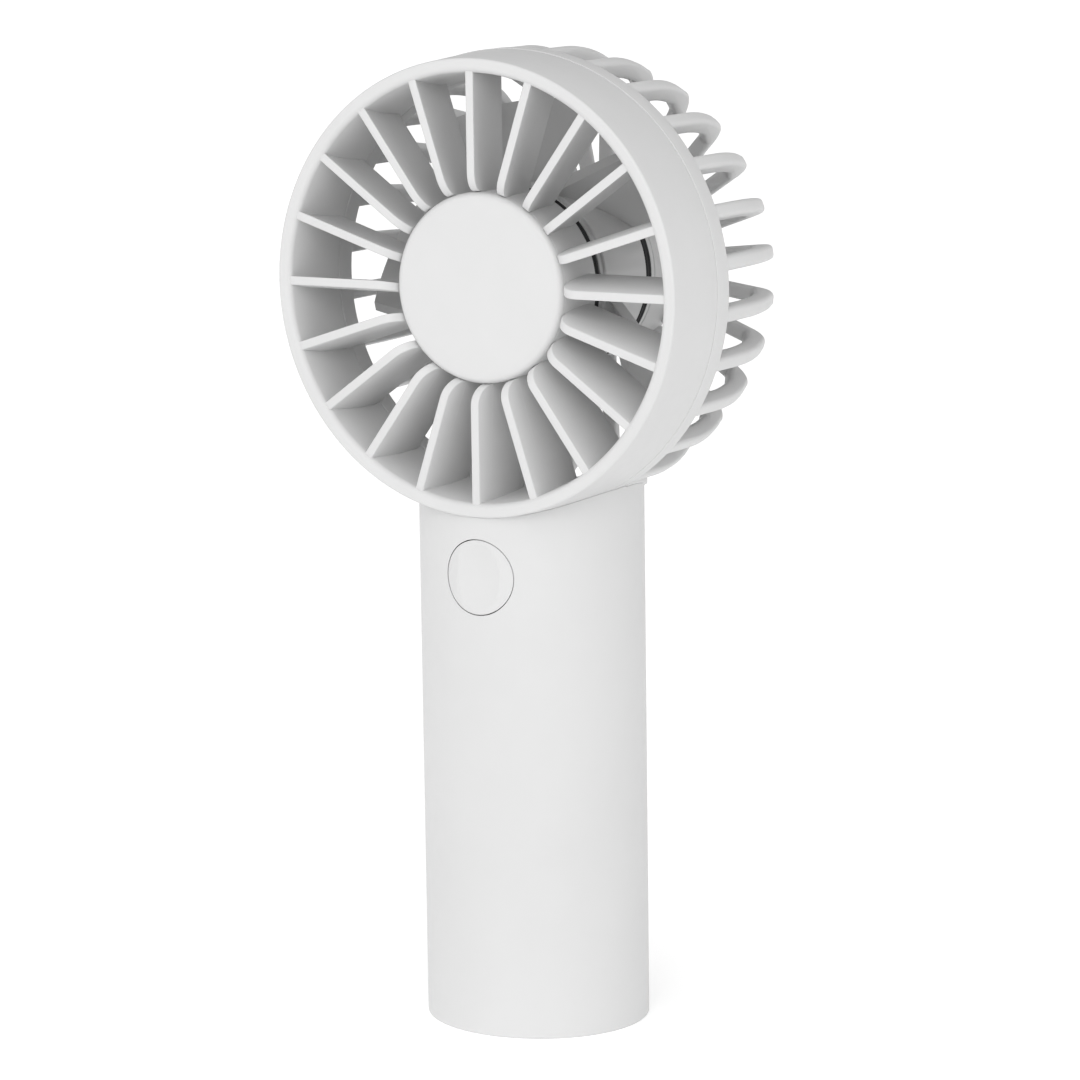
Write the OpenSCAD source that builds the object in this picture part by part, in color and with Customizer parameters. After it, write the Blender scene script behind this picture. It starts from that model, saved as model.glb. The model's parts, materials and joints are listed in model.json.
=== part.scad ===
// Handheld electric fan: a round fan head on a straight oval handle.
// +Z is up, the air leaves towards -Y, and the origin is the middle of the flat base.

/* [Head] */
// Height of the lowest point of the head's ring above the base
neck_h = 102.3; // [96:0.1:140]
// Outer radius of the head at the front rim
rim_r = 44; // [38:0.1:53]
// Growth of the outer radius from the front rim to the back of the ring
ring_flare = 1; // [0:0.1:2]
// Wall of the front ring at the rim
rim_wall = 1.8; // [1.4:0.1:3]
// Depth of the front ring, from the rim to its seam
front_depth = 15.5; // [13:0.1:20]
// Depth of the rear ring, behind the seam
rear_depth = 5; // [3:0.1:9]
// Wall of the rear ring
rear_wall = 4.3; // [3:0.1:5]
// Distance of the front rim in front of the handle's middle
rim_forward = 21.7; // [20:0.1:26]

/* [Front vanes] */
// Number of fixed vanes in front
vane_count = 20; // [12:1:26]
// Thickness of a vane
vane_t = 1.7; // [1.2:0.1:2.4]
// Sideways sweep of a vane from front to back
vane_sweep = 1.7; // [0.8:0.1:3]
// Depth of the vanes' front edges behind the rim
vane_inset = 0.5; // [0.2:0.1:2]
// Depth of the vanes' back edges behind the rim
vane_end = 14.1; // [11:0.1:14.2]
// Radius of the rounding where a vane's front edge meets the hub
vane_corner_r = 4; // [1:0.5:6]

/* [Hub] */
// Radius of the fixed front hub
hub_r = 18.4; // [16.5:0.1:22]
// Depth of the hub cap's face behind the rim
cap_inset = 2.6; // [1:0.1:4]
// Thickness of the hub cap
cap_t = 1.6; // [1.2:0.1:2.4]
// Bevel round the hub cap's face
cap_bevel = 1.4; // [0.4:0.1:1.5]
// Depth of the hub's open back end behind the rim
hub_end = 16; // [15.5:0.1:18]
// Wall of the hub
hub_wall = 1.6; // [1.2:0.1:2]

/* [Rear cage] */
// Number of ribs in the rear cage
rib_count = 28; // [18:1:34]
// Width of a rib
rib_w = 3; // [1.8:0.1:3.4]
// Depth of a rib's side bar, measured along the radius
rib_side_t = 3.8; // [3:0.1:4.2]
// Thickness of a rib's back bar
rib_back_t = 2.6; // [2:0.1:4]
// Depth behind the rim at which the ribs start to bend inwards
bend_start = 29.5; // [26:0.5:36]
// Radius of the ribs' gentle bend
bend_r = 40; // [30:1:60]
// Angle of the ribs' gentle bend
bend_angle = 22; // [12:1:28]
// Radius of the ribs' back corner
corner_r = 6; // [4:0.5:8]
// Slope of the cage's back towards its middle
back_slope = 8; // [2:1:14]
// Radius of the fixed rear hub in the middle of the cage
rear_hub_r = 18.2; // [14:0.1:20]
// Wall of the rear hub
rear_hub_wall = 1.6; // [1.2:0.1:2.4]

/* [Impeller] */
// Number of fan blades
blade_count = 5; // [3:1:9]
// Radius of the impeller's hub
impeller_hub_r = 18.4; // [17:0.1:22]
// Gap between the blade tips and the ring around them
tip_gap = 6; // [0.8:0.1:7]
// Gap between the fixed front hub and the impeller's hub
hub_slot = 2.2; // [1:0.1:4]
// Gap between the impeller's hub and the fixed rear hub
rear_slot = 2; // [1:0.1:4]
// Length of the impeller along its axis
impeller_len = 17.9; // [12:0.1:20]
// Thickness of a blade, measured across the fan axis
blade_t = 1.8; // [1.2:0.1:2.4]
// Distance of a blade's edge from the line through the fan axis beside it
blade_offset = 13.6; // [8:0.1:14]
// Turn of a blade from its front edge to its back edge
blade_turn = 37.5; // [15:0.5:50]
// Angle of the first blade round the fan axis
blade_start = 48; // [0:1:120]

/* [Motor] */
// Radius of the motor shaft
shaft_r = 1; // [0.8:0.1:1.5]
// Radial clearance of the shaft in its bushes
shaft_gap = 0.04; // [0.02:0.01:0.1]
// Outer radius of the rotor can
rotor_r = 11.6; // [10.5:0.1:13]
// Wall of the rotor can
rotor_wall = 0.6; // [0.5:0.1:1]
// Thickness of the magnet ring
magnet_t = 1; // [0.8:0.1:1.5]
// Air gap between the stator and the magnets
air_gap = 0.4; // [0.3:0.1:0.6]
// Number of stator poles
pole_count = 6; // [6:3:12]

/* [Handle] */
// Half of the handle's width
handle_a = 22.55; // [19:0.05:28]
// Half of the handle's depth
handle_b = 21; // [17.6:0.05:26]
// Wall of the handle
handle_wall = 1.8; // [1.4:0.1:2.4]
// Thickness of the base cap
base_t = 2.2; // [1.8:0.1:3]
// Gap round the base cap
base_gap = 0.12; // [0.05:0.01:0.2]

/* [Power button] */
// Distance of the button's middle below the lowest point of the head's ring
button_drop = 10.8; // [9.5:0.1:14]
// Radius of the button
button_r = 7.3; // [5:0.1:8]
// Gap round the button
button_gap = 0.2; // [0.15:0.05:0.4]
// Travel of the button
button_travel = 0.4; // [0.3:0.1:0.6]
// Depth of the thumb dish in the button
dish_depth = 0.7; // [0.3:0.1:0.9]

/* [Battery and boards] */
// Radius of one battery cell
cell_r = 9.2; // [7:0.1:9.3]
// Length of one battery cell
cell_len = 65; // [50:1:66]
// Height of the lower end of the cells
cell_z = 8.4; // [8:0.1:12]
// Thickness of the circuit boards
board_t = 1.2; // [0.8:0.1:1.6]
// Height of the charging port above the base
port_z = 17; // [14:0.5:30]
// Width of the charging port's shell
port_w = 8.94; // [8:0.02:10]
// Height of the charging port's shell
port_h = 3.26; // [3:0.02:3.6]

/* [Hidden] */

white = [0.93, 0.93, 0.93];
black = [0.05, 0.05, 0.05];
board_green = [0.1, 0.35, 0.2];
steel = [0.7, 0.7, 0.72];
round_fn = 96;
fine_fn = 48;
eps = 0.01;
touch = 0.05;
free = 0.3;

// Heights of the fan axis and of the button
ring_back_r = rim_r + ring_flare;
head_z = neck_h + ring_back_r;
button_z = neck_h - button_drop;

// Head depths, measured backwards from the rim plane
ring_end = front_depth + rear_depth;
front_in_r = rim_r - rim_wall;
rear_in_r = ring_back_r - rear_wall;
seam_r = ring_back_r - 0.1;
cap_back = cap_inset + cap_t;
floor_z = cap_back + 2;
floor_t = 1.4;
hub_in_r = hub_r - hub_wall;
board_z = floor_z + floor_t;
motor_board_t = 1;
stator_z = board_z + motor_board_t + 1;
stator_len = 4.8;
tube_r = 3.15;
bush_r = 2.4;
tube_end = hub_end - 0.9;
can_plate_t = 0.8;
can_plate_z = tube_end + free;
magnet_in_r = rotor_r - rotor_wall - magnet_t;
stator_r = magnet_in_r - air_gap;
impeller_z = hub_end + hub_slot;
impeller_end = impeller_z + impeller_len;
tip_r = rear_in_r - tip_gap;
impeller_wall = 2.9;
web_count = 6;
blade_slices = 12;
shaft_start = floor_z - 0.8;
shaft_end = impeller_z + 10;
screw_circle_r = 8.6;

// Cage profile: a straight side bar, a gentle bend, a tighter corner and a sloped back
bend_centre_r = ring_back_r - bend_r;
bend_out_r = bend_centre_r + bend_r * cos(bend_angle);
bend_out_z = bend_start + bend_r * sin(bend_angle);
corner_c_r = bend_out_r - corner_r * cos(bend_angle);
corner_c_z = bend_out_z - corner_r * sin(bend_angle);
corner_in_r = 1.5;
corner_stop = 90 - back_slope;
back_r = corner_c_r + corner_r * cos(corner_stop);
back_z = corner_c_z + corner_r * sin(corner_stop);
function back_at(r) = back_z + (back_r - r) * tan(back_slope);
cage_end = back_at(rear_hub_r);
rear_hub_z = impeller_end + rear_slot;

// Handle: an oval of four true arcs, flatter in front and behind than at the sides
oval_trim = 3.05;
wall_in_y = handle_b - handle_wall;
saddle_t = 1.8;
saddle_r = ring_back_r + 0.2;
roof_in_r = saddle_r + touch + saddle_t;
lip = 0.6;
saddle_end = rim_forward + handle_b + lip;
lead_hole_r = 1.6;
lead_y = vane_end + 1 - rim_forward;
neck_boss_x = 9;
neck_boss_y = 8.5;
neck_boss_r = 2.8;
neck_screw_r = 1.1;
neck_low_z = head_z - roof_in_r - touch;
neck_screw_len = 3.4;
neck_plate_t = 1.6;
base_boss_r = 2.6;
base_boss_y = wall_in_y - 2.4;
base_boss_top = 14;
base_screw_r = 1.1;

// Inside the handle
frame_t = 1.6;
cell_x = cell_r + 0.15;
cell_top = cell_z + cell_len;
tab_t = 0.2;
nub_h = 0.8;
frame_top_z = cell_top + nub_h + tab_t + 0.4;
spine_y = cell_r + 0.6;
spine_t = 1.4;
flange_y = wall_in_y - 2.2;
flange_t = 1.2;
flange_r = button_r + 1;
stem_y = flange_y - flange_t - 0.75;
plunger_r = 1.3;
switch_t = 1.6;
plunger_out = 0.8;
board_y = stem_y - touch - plunger_out - switch_t;
board_w = 27;
board_low_z = frame_top_z + frame_t + 2;
board_top_z = head_z - roof_in_r - 1.6;
leg_x = 11;
leg_w = 3.2;
charge_y = spine_y + spine_t + 0.5;
charge_w = 20;
charge_low_z = cell_z + 1;
charge_h = 24;
port_y = charge_y + board_t;
port_end_y = handle_b - 0.6;
port_shell_t = 0.35;
lead_r = 0.5;

// Puts a shape drawn round +Z, with z as the depth behind the rim, on the head
module on_head() translate([0, -rim_forward, head_z]) rotate([-90, 0, 0]) children();

// Puts a shape drawn round +Z on the front of the handle, with z pointing forwards
module facing_front(height) translate([0, 0, height]) rotate([90, 0, 0]) children();

// Repeats a shape evenly round +Z
module spread(count, first = 0) {
    for (i = [0 : count - 1]) rotate([0, 0, first + i * 360 / count]) children();
}

module ring(outer, inner, z0, z1) {
    difference() {
        translate([0, 0, z0]) cylinder(r = outer, h = z1 - z0, $fn = round_fn);
        translate([0, 0, z0 - 1]) cylinder(r = inner, h = z1 - z0 + 2, $fn = round_fn);
    }
}

module rod(radius, z0, z1) {
    translate([0, 0, z0]) cylinder(r = radius, h = z1 - z0, $fn = fine_fn);
}

// Oval outline of the handle, moved outwards by grow
module oval(grow = 0) {
    a = handle_a + grow;
    b = handle_b + grow;
    side_r = a - oval_trim;
    front_r = (pow(oval_trim, 2) + pow(b, 2) - pow(side_r, 2)) / (2 * (b - side_r));
    tangent_x = front_r * oval_trim / (front_r - side_r);
    intersection() {
        translate([0, front_r - b]) circle(r = front_r, $fn = round_fn);
        translate([0, b - front_r]) circle(r = front_r, $fn = round_fn);
        square([2 * tangent_x, 3 * b], center = true);
    }
    for (side = [-1, 1]) translate([side * oval_trim, 0]) circle(r = side_r, $fn = round_fn);
}

module oval_bar(z0, z1, grow = 0) {
    translate([0, 0, z0]) linear_extrude(height = z1 - z0) oval(grow);
}

function arc(cx, cy, r, a0, a1, steps) =
    [for (i = [0 : steps]) let (a = a0 + (a1 - a0) * i / steps) [cx + r * cos(a), cy + r * sin(a)]];

// ---- Head ----

module front_ring() {
    rotate_extrude($fn = round_fn)
        polygon([[front_in_r, 0], [rim_r, 0], [seam_r, front_depth], [front_in_r, front_depth]]);
}

// One vane along +X: part of a round shell whose back edge runs along the axis
module vane() {
    depth = vane_end - vane_inset;
    sweep_r = pow(depth, 2) / (2 * vane_sweep);
    intersection() {
        translate([hub_r - 0.8, -10, vane_inset])
            cube([front_in_r - hub_r + 1.3, 20, depth]);
        translate([0, sweep_r - vane_sweep, vane_end]) rotate([0, 90, 0]) difference() {
            cylinder(r = sweep_r + vane_t / 2, h = rim_r, $fn = round_fn);
            translate([0, 0, -1]) cylinder(r = sweep_r - vane_t / 2, h = rim_r + 2, $fn = round_fn);
        }
    }
}

// Space that the vanes may fill: rounded off at the front next to the hub
module vane_envelope() {
    c = vane_corner_r;
    root_r = hub_r - 0.8;
    corner_x = hub_r + c + 0.1;
    rotate_extrude($fn = round_fn) difference() {
        translate([root_r, vane_inset])
            square([front_in_r - hub_r + 1.2, vane_end - vane_inset]);
        difference() {
            translate([root_r - 1, vane_inset - 1]) square([corner_x - root_r + 1, c + 1]);
            translate([corner_x, vane_inset + c]) circle(r = c, $fn = fine_fn);
        }
    }
}

module hub_barrel() {
    difference() {
        ring(hub_r, hub_in_r, cap_back, hub_end);
        translate([0, hub_r, hub_end - 1.5]) cube([3.2, 4 * hub_wall, 3 + eps], center = true);
    }
    difference() {
        rod(hub_in_r + eps, floor_z, floor_z + floor_t);
        rod(tube_r, floor_z - 1, floor_z + floor_t + 1);
        spread(3, 30) translate([screw_circle_r, 0, 0]) rod(0.7, floor_z - 1, floor_z + floor_t + 1);
        translate([0, hub_in_r - 2, 0]) rod(1.4, floor_z - 1, floor_z + floor_t + 1);
    }
}

// Two bosses under the saddle, which pass through the handle's roof and are screwed from below
module neck_bosses(grow = 0) {
    top_z = head_z - sqrt(pow(saddle_r - saddle_t / 2, 2) - pow(neck_boss_x, 2));
    for (side = [-1, 1]) translate([side * neck_boss_x, neck_boss_y, neck_low_z])
        cylinder(r = neck_boss_r + grow, h = top_z - neck_low_z, $fn = fine_fn);
}

module neck_screw_holes(radius, z0, z1) {
    for (side = [-1, 1]) translate([side * neck_boss_x, neck_boss_y, 0]) rod(radius, z0, z1);
}

module lead_hole() {
    translate([0, lead_y, 0]) rod(lead_hole_r, neck_low_z, head_z - rear_in_r + 1);
}

module front_grille() {
    color(white) difference() {
        union() {
            on_head() {
                front_ring();
                hub_barrel();
                spread(vane_count) intersection() {
                    vane();
                    vane_envelope();
                }
            }
        }
        lead_hole();
    }
}

module hub_cap() {
    color(white) on_head() {
        rotate_extrude($fn = round_fn) polygon(concat(
            [[0, cap_back], [0, cap_inset]],
            arc(hub_r - cap_bevel, cap_inset + cap_bevel, cap_bevel, 270, 360, 6),
            [[hub_r, cap_back]]));
        ring(hub_in_r - touch, hub_in_r - 1.3, cap_back - eps, cap_back + 1.5);
    }
}

// Side view of one rib: radius along x, depth along y
module rib_outline() {
    back_in = corner_stop;
    inner_r = bend_r - rib_side_t;
    root = ring_end - 2;
    root_r = ring_back_r - 0.1;
    back_dir = [cos(back_in), sin(back_in)];
    inner_c = [corner_c_r + (corner_r - rib_back_t - corner_in_r) * back_dir[0]
            - (rib_side_t - rib_back_t) * 0.9,
        corner_c_z + (corner_r - rib_back_t - corner_in_r) * back_dir[1]];
    polygon(concat(
        [[root_r, root]],
        arc(bend_centre_r - 0.1, bend_start, bend_r, 0, bend_angle, 5),
        arc(corner_c_r, corner_c_z, corner_r, bend_angle, back_in, 6),
        [[rear_hub_r - 2, back_at(rear_hub_r - 2)],
            [rear_hub_r - 2, back_at(rear_hub_r - 2) - rib_back_t]],
        arc(inner_c[0], inner_c[1], corner_in_r, back_in, bend_angle, 3),
        arc(bend_centre_r, bend_start, inner_r, bend_angle * 0.8, 0, 4),
        [[ring_back_r - rib_side_t, root]]));
}

module rib() {
    rotate([90, 0, 0]) translate([0, 0, -rib_w / 2]) linear_extrude(height = rib_w) rib_outline();
}

// Curved plate that closes the top of the handle under the ribs
module saddle() {
    intersection() {
        on_head() ring(saddle_r, saddle_r - saddle_t, ring_end - 1, saddle_end + 1);
        oval_bar(head_z - ring_back_r - 8, head_z - 20, lip);
    }
}

module rear_cage() {
    color(white) difference() {
        union() {
            on_head() {
                ring(ring_back_r, rear_in_r, front_depth, ring_end);
                ring(front_in_r - touch, rear_in_r, vane_end + free, front_depth + eps);
                spread(rib_count, 180 / rib_count) rib();
                ring(rear_hub_r, rear_hub_r - rear_hub_wall, rear_hub_z, cage_end - eps);
                hub_webs(rear_hub_r - rear_hub_wall / 2, rear_hub_z + 2, cage_end - 1);
                rod(rear_hub_r, cage_end - rib_back_t, cage_end);
            }
            saddle();
            neck_bosses();
        }
        neck_screw_holes(neck_screw_r - 0.1, neck_low_z - 1, neck_low_z + neck_screw_len + 0.2);
        lead_hole();
    }
}

// Stiffening webs inside a hub
module hub_webs(reach, z0, z1) {
    web_t = 1.2;
    spread(web_count) translate([0, -web_t / 2, z0]) cube([reach, web_t, z1 - z0]);
}

// One blade: a straight edge beside the axis, turned evenly as it goes back
module blade() {
    trim = 0.6;
    translate([0, 0, impeller_z + trim])
        linear_extrude(height = impeller_len - 2 * trim, twist = -blade_turn, slices = blade_slices)
            translate([0, -blade_offset - blade_t / 2]) square([tip_r, blade_t]);
}

module impeller() {
    face_t = 1.6;
    step = 1;
    step_in = 0.7;
    boss_r = 3;
    color(white) on_head() {
        intersection() {
            spread(blade_count, blade_start) blade();
            ring(tip_r, impeller_hub_r - step_in, impeller_z, impeller_end);
        }
        difference() {
            union() {
                rod_big(impeller_hub_r - 2 * step_in, impeller_z, impeller_z + step + eps);
                rod_big(impeller_hub_r - step_in, impeller_z + step, impeller_z + 2 * step + eps);
                rod_big(impeller_hub_r, impeller_z + 2 * step, impeller_end);
            }
            difference() {
                ring(impeller_hub_r - impeller_wall, boss_r, impeller_z + face_t, impeller_end + 1);
                hub_webs(impeller_hub_r, impeller_z, impeller_end - 1.5);
            }
            rod(shaft_r, impeller_z - 1, shaft_end);
        }
    }
}

// Black sealing ring on the end of a fixed hub, with a notched spigot that fits inside the hub
module hub_seal(outer, bore, face_z, flipped) {
    lip_t = 0.35;
    wall = 1.2;
    reach = 1.7;
    spigot = 1.5;
    notch_w = 3.2;
    color(black) on_head() translate([0, 0, face_z]) mirror([0, 0, flipped]) difference() {
        union() {
            ring(outer - lip_t, bore - wall, 0, reach);
            ring(bore - touch, bore - wall, -spigot, eps);
        }
        translate([-notch_w / 2, bore - 2 * wall, -spigot - 1])
            cube([notch_w, 3 * wall, spigot + 0.8]);
    }
}

module front_seal() hub_seal(hub_r, hub_in_r, hub_end, 0);

module rear_seal() hub_seal(rear_hub_r, rear_hub_r - rear_hub_wall, rear_hub_z, 1);

// ---- Motor ----

module motor_shaft() {
    color(steel) on_head() difference() {
        rod(shaft_r, shaft_start, shaft_end);
        ring(shaft_r + 1, shaft_r - 0.25, shaft_start + 0.3, shaft_start + 0.7);
    }
}

module shaft_clip() {
    color(steel) on_head() ring(shaft_r + 0.8, shaft_r - 0.25, shaft_start + 0.3, shaft_start + 0.5 + eps);
}

module rotor_can() {
    color(steel) on_head() {
        ring(rotor_r, rotor_r - rotor_wall, stator_z - 0.2, can_plate_z + eps);
        ring(rotor_r, shaft_r, can_plate_z, can_plate_z + can_plate_t);
    }
}

module magnet_ring() {
    color([0.2, 0.2, 0.22]) on_head()
        ring(rotor_r - rotor_wall, magnet_in_r, stator_z, stator_z + stator_len + 0.6);
}

module stator_arm(width, reach, z0, z1) {
    translate([tube_r + 1, -width / 2, z0]) cube([reach, width, z1 - z0]);
}

module stator_core() {
    arm_w = 1.6;
    shoe_t = 1;
    shoe_w = 6.2;
    color([0.5, 0.5, 0.52]) on_head() {
        ring(tube_r + 1.4, tube_r, stator_z, stator_z + stator_len);
        spread(pole_count) stator_arm(arm_w, stator_r - tube_r - 1.4, stator_z, stator_z + stator_len);
        intersection() {
            ring(stator_r, stator_r - shoe_t, stator_z, stator_z + stator_len);
            spread(pole_count) stator_arm(shoe_w, rotor_r, stator_z - 1, stator_z + stator_len + 1);
        }
    }
}

module stator_windings() {
    coil_w = 3;
    inner = tube_r + 1.7;
    coil_len = stator_r - 1.3 - inner;
    color([0.72, 0.4, 0.2]) on_head() spread(pole_count) difference() {
        translate([inner, -coil_w / 2, stator_z - 0.6]) cube([coil_len, coil_w, stator_len + 1.2]);
        translate([inner - 1, -0.8 - touch, stator_z - touch])
            cube([coil_len + 2, 1.6 + 2 * touch, stator_len + 2 * touch]);
    }
}

module motor_board() {
    color(board_green) on_head() difference() {
        rod(rotor_r - 1, board_z, board_z + motor_board_t);
        rod(tube_r + touch, board_z - 1, board_z + 2);
        spread(3, 30) translate([screw_circle_r, 0, 0]) rod(0.9, board_z - 1, board_z + 2);
    }
}

module motor_screws() {
    color(steel) on_head() spread(3, 30) translate([screw_circle_r, 0, 0]) {
        rod(0.7, floor_z, board_z + motor_board_t + eps);
        rod(1.3, board_z + motor_board_t, board_z + motor_board_t + 0.6);
    }
}

module bearing_tube() {
    color([0.85, 0.68, 0.4]) on_head() ring(tube_r, bush_r, floor_z, tube_end);
}

module motor_bushes() {
    bush_len = 2.6;
    color([0.6, 0.5, 0.35]) on_head() {
        ring(bush_r, shaft_r + shaft_gap, floor_z + 0.3, floor_z + 0.3 + bush_len);
        ring(bush_r, shaft_r + shaft_gap, tube_end - bush_len, tube_end);
    }
}

// Leads from the motor board, behind the lowest vane and down into the handle
module motor_leads() {
    hub_turn = head_z - hub_in_r + 2.2;
    board_turn = board_top_z - 2;
    color([0.75, 0.1, 0.1]) for (side = [-1, 1]) translate([side * 0.7, lead_y, 0]) {
        rod(lead_r, board_turn, hub_turn);
        for (z = [board_turn, hub_turn]) translate([0, 0, z]) sphere(r = lead_r, $fn = fine_fn);
        translate([0, 0, hub_turn]) rotate([90, 0, 0])
            rod(lead_r, 0, lead_y + rim_forward - board_z - motor_board_t - 0.1);
        translate([0, 0, board_turn]) rotate([90, 0, 0])
            rod(lead_r, 0, lead_y + board_y - board_t - 0.1);
    }
}

// ---- Handle ----

// Room for the head above the handle: the ring in front, the saddle behind
module head_clearance() {
    on_head() {
        translate([0, 0, -5]) cylinder(r = rim_r + touch, h = 5 + eps, $fn = round_fn);
        cylinder(r1 = rim_r + touch, r2 = seam_r + touch, h = front_depth + eps, $fn = round_fn);
        rod_big(ring_back_r + touch, front_depth, ring_end - 1 + eps);
        rod_big(saddle_r + touch, ring_end - 1, saddle_end + 8);
    }
}

module rod_big(radius, z0, z1) {
    translate([0, 0, z0]) cylinder(r = radius, h = z1 - z0, $fn = round_fn);
}

// Wall pieces inside the handle that the base cap is screwed to
module base_bosses() {
    for (side = [-1, 1]) intersection() {
        translate([0, side * base_boss_y, 0]) union() {
            rod(base_boss_r, base_t + touch, base_boss_top);
            translate([-1, side > 0 ? 0 : -3, base_t + touch]) cube([2, 3, base_boss_top - base_t - touch]);
        }
        oval_bar(0, base_boss_top, -handle_wall + 0.2);
    }
}

module handle_shell() {
    color(white) difference() {
        union() {
            difference() {
                oval_bar(0, head_z - 20);
                difference() {
                    oval_bar(-1, head_z, -handle_wall);
                    on_head() rod_big(roof_in_r, -5, saddle_end + 8);
                }
                head_clearance();
            }
            base_bosses();
        }
        for (side = [-1, 1]) translate([0, side * base_boss_y, 0]) rod(base_screw_r - 0.1, 0, 12);
        facing_front(button_z) rod(button_r + button_gap, 5, handle_b + 5);
        neck_bosses(touch);
        lead_hole();
        port_slot(0.25);
    }
}

module port_slot(grow) {
    translate([0, port_y, port_z]) rotate([-90, 0, 0]) linear_extrude(height = handle_b)
        stadium(port_w + 2 * grow, port_h + 2 * grow);
}

module stadium(width, height) {
    square([width - height, height], center = true);
    for (side = [-1, 1]) translate([side * (width - height) / 2, 0]) circle(r = height / 2, $fn = fine_fn);
}

module base_cap() {
    head_r = 2.2;
    color(white) difference() {
        oval_bar(0, base_t, -handle_wall - base_gap);
        for (side = [-1, 1]) translate([0, side * base_boss_y, 0]) {
            rod(base_screw_r + 0.15, -1, base_t + 1);
            translate([0, 0, -eps]) cylinder(r1 = head_r, r2 = base_screw_r, h = 1.3, $fn = fine_fn);
        }
    }
}

module base_screws() {
    color(steel) for (side = [-1, 1]) translate([0, side * base_boss_y, 0]) {
        translate([0, 0, 0.2]) cylinder(r1 = 1.95, r2 = base_screw_r, h = 0.95, $fn = fine_fn);
        rod(base_screw_r - 0.1, 0.3, 10);
    }
}

module neck_plate() {
    color(steel) difference() {
        translate([-neck_boss_x - 4, neck_boss_y - 3, neck_low_z - neck_plate_t])
            cube([2 * neck_boss_x + 8, 6, neck_plate_t]);
        neck_screw_holes(neck_screw_r + 0.15, 0, head_z);
    }
}

module neck_screws() {
    low = neck_low_z - neck_plate_t;
    color(steel) {
        neck_screw_holes(neck_screw_r - 0.1, low - eps, neck_low_z + neck_screw_len);
        neck_screw_holes(2, low - 1.2, low);
    }
}

module power_button() {
    dish_r = (pow(button_r - 0.6, 2) + pow(dish_depth, 2)) / (2 * dish_depth);
    color(white) difference() {
        union() {
            intersection() {
                facing_front(button_z) rod_big(button_r, flange_y - eps, handle_b);
                oval_bar(0, head_z);
            }
            facing_front(button_z) {
                rod_big(flange_r, flange_y - flange_t, flange_y);
                rod(1.8, stem_y, flange_y - flange_t + eps);
            }
        }
        facing_front(button_z) translate([0, 0, handle_b - dish_depth + dish_r - 0.2])
            sphere(r = dish_r, $fn = round_fn);
    }
}

module button_guide() {
    guide_t = 1.2;
    top_cut = 8;
    color(white) facing_front(button_z) difference() {
        ring(flange_r + free + guide_t, flange_r + free, board_y + touch, flange_y - 0.5);
        translate([-handle_a, top_cut, 0]) cube([2 * handle_a, 10, handle_b]);
        translate([0, -flange_r - 1, board_y + 1]) cube([6, 6, 3], center = true);
    }
}

module switch_body() {
    size = 5.2;
    color([0.15, 0.15, 0.16]) facing_front(button_z) difference() {
        translate([-size / 2, -size / 2, board_y]) cube([size, size, switch_t]);
        rod(plunger_r + 0.1, board_y + 0.2, board_y + switch_t + 1);
    }
}

module switch_plunger() {
    color([0.8, 0.8, 0.75]) facing_front(button_z)
        rod(plunger_r, board_y + 0.3 + button_travel, board_y + switch_t + plunger_out);
}

module board_holes(radius) {
    for (side = [-1, 1]) translate([side * leg_x, 0, board_low_z + 4]) rotate([90, 0, 0])
        rod(radius, 0, handle_b);
}

module control_board() {
    color(board_green) difference() {
        translate([-board_w / 2, -board_y, board_low_z])
            cube([board_w, board_t, board_top_z - board_low_z]);
        board_holes(0.9);
    }
}

module control_chips() {
    color([0.12, 0.12, 0.13]) {
        translate([-3, -board_y + board_t, board_low_z + 4]) cube([6, 1.4, 5]);
        translate([4.5, -board_y + board_t, board_low_z + 12]) cube([3, 1, 2]);
        translate([-7.5, -board_y + board_t, board_low_z + 12]) cube([3, 1, 2]);
    }
}

module board_screws() {
    color(steel) for (side = [-1, 1]) translate([side * leg_x, 0, board_low_z + 4]) rotate([90, 0, 0]) {
        rod(0.8, board_y - board_t - 2.2, board_y + eps);
        rod(1.5, board_y, board_y + 0.9);
    }
}

// Chassis that slides into the handle: two end plates, a spine and two legs for the board
module inner_frame() {
    slim = 0.5;
    color([0.25, 0.25, 0.27]) difference() {
        union() {
            for (z = [cell_z - tab_t - frame_t, frame_top_z]) intersection() {
                oval_bar(z, z + frame_t, -handle_wall - slim);
                translate([-handle_a, -cell_r - 1.5, z])
                    cube([2 * handle_a, cell_r + 1.5 + spine_y + spine_t, frame_t]);
            }
            translate([-8, spine_y, cell_z - tab_t - frame_t])
                cube([16, spine_t, frame_top_z + 2 * frame_t - cell_z]);
            for (side = [-1, 1]) translate([side * leg_x - leg_w / 2, -board_y + board_t, frame_top_z])
                cube([leg_w, 4, board_low_z + 8 - frame_top_z]);
        }
        board_holes(0.8);
    }
}

module battery_cells() {
    color([0.2, 0.45, 0.6]) for (side = [-1, 1]) translate([side * cell_x, 0, 0]) {
        rod_big(cell_r, cell_z, cell_top);
        rod(3, cell_top - eps, cell_top + nub_h);
    }
}

module battery_tabs() {
    strip_w = 6;
    color([0.75, 0.73, 0.68]) {
        translate([-cell_x - 3, -strip_w / 2, cell_z - tab_t]) cube([2 * cell_x + 6, strip_w, tab_t]);
        translate([-cell_x - 3, -strip_w / 2, cell_top + nub_h]) cube([2 * cell_x + 6, strip_w, tab_t]);
    }
}

// Battery leads, up from the charge board to the control board
module battery_leads() {
    run_y = spine_y + spine_t + 1;
    turn_z = board_low_z + 3;
    color([0.1, 0.1, 0.1]) for (side = [-1, 1]) translate([side * 4.5, run_y, 0]) {
        rod(lead_r, charge_low_z + charge_h + free, turn_z);
        translate([0, 0, turn_z]) sphere(r = lead_r, $fn = fine_fn);
        translate([0, 0, turn_z]) rotate([90, 0, 0])
            rod(lead_r, 0, run_y + board_y - board_t - 0.1);
    }
}

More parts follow.
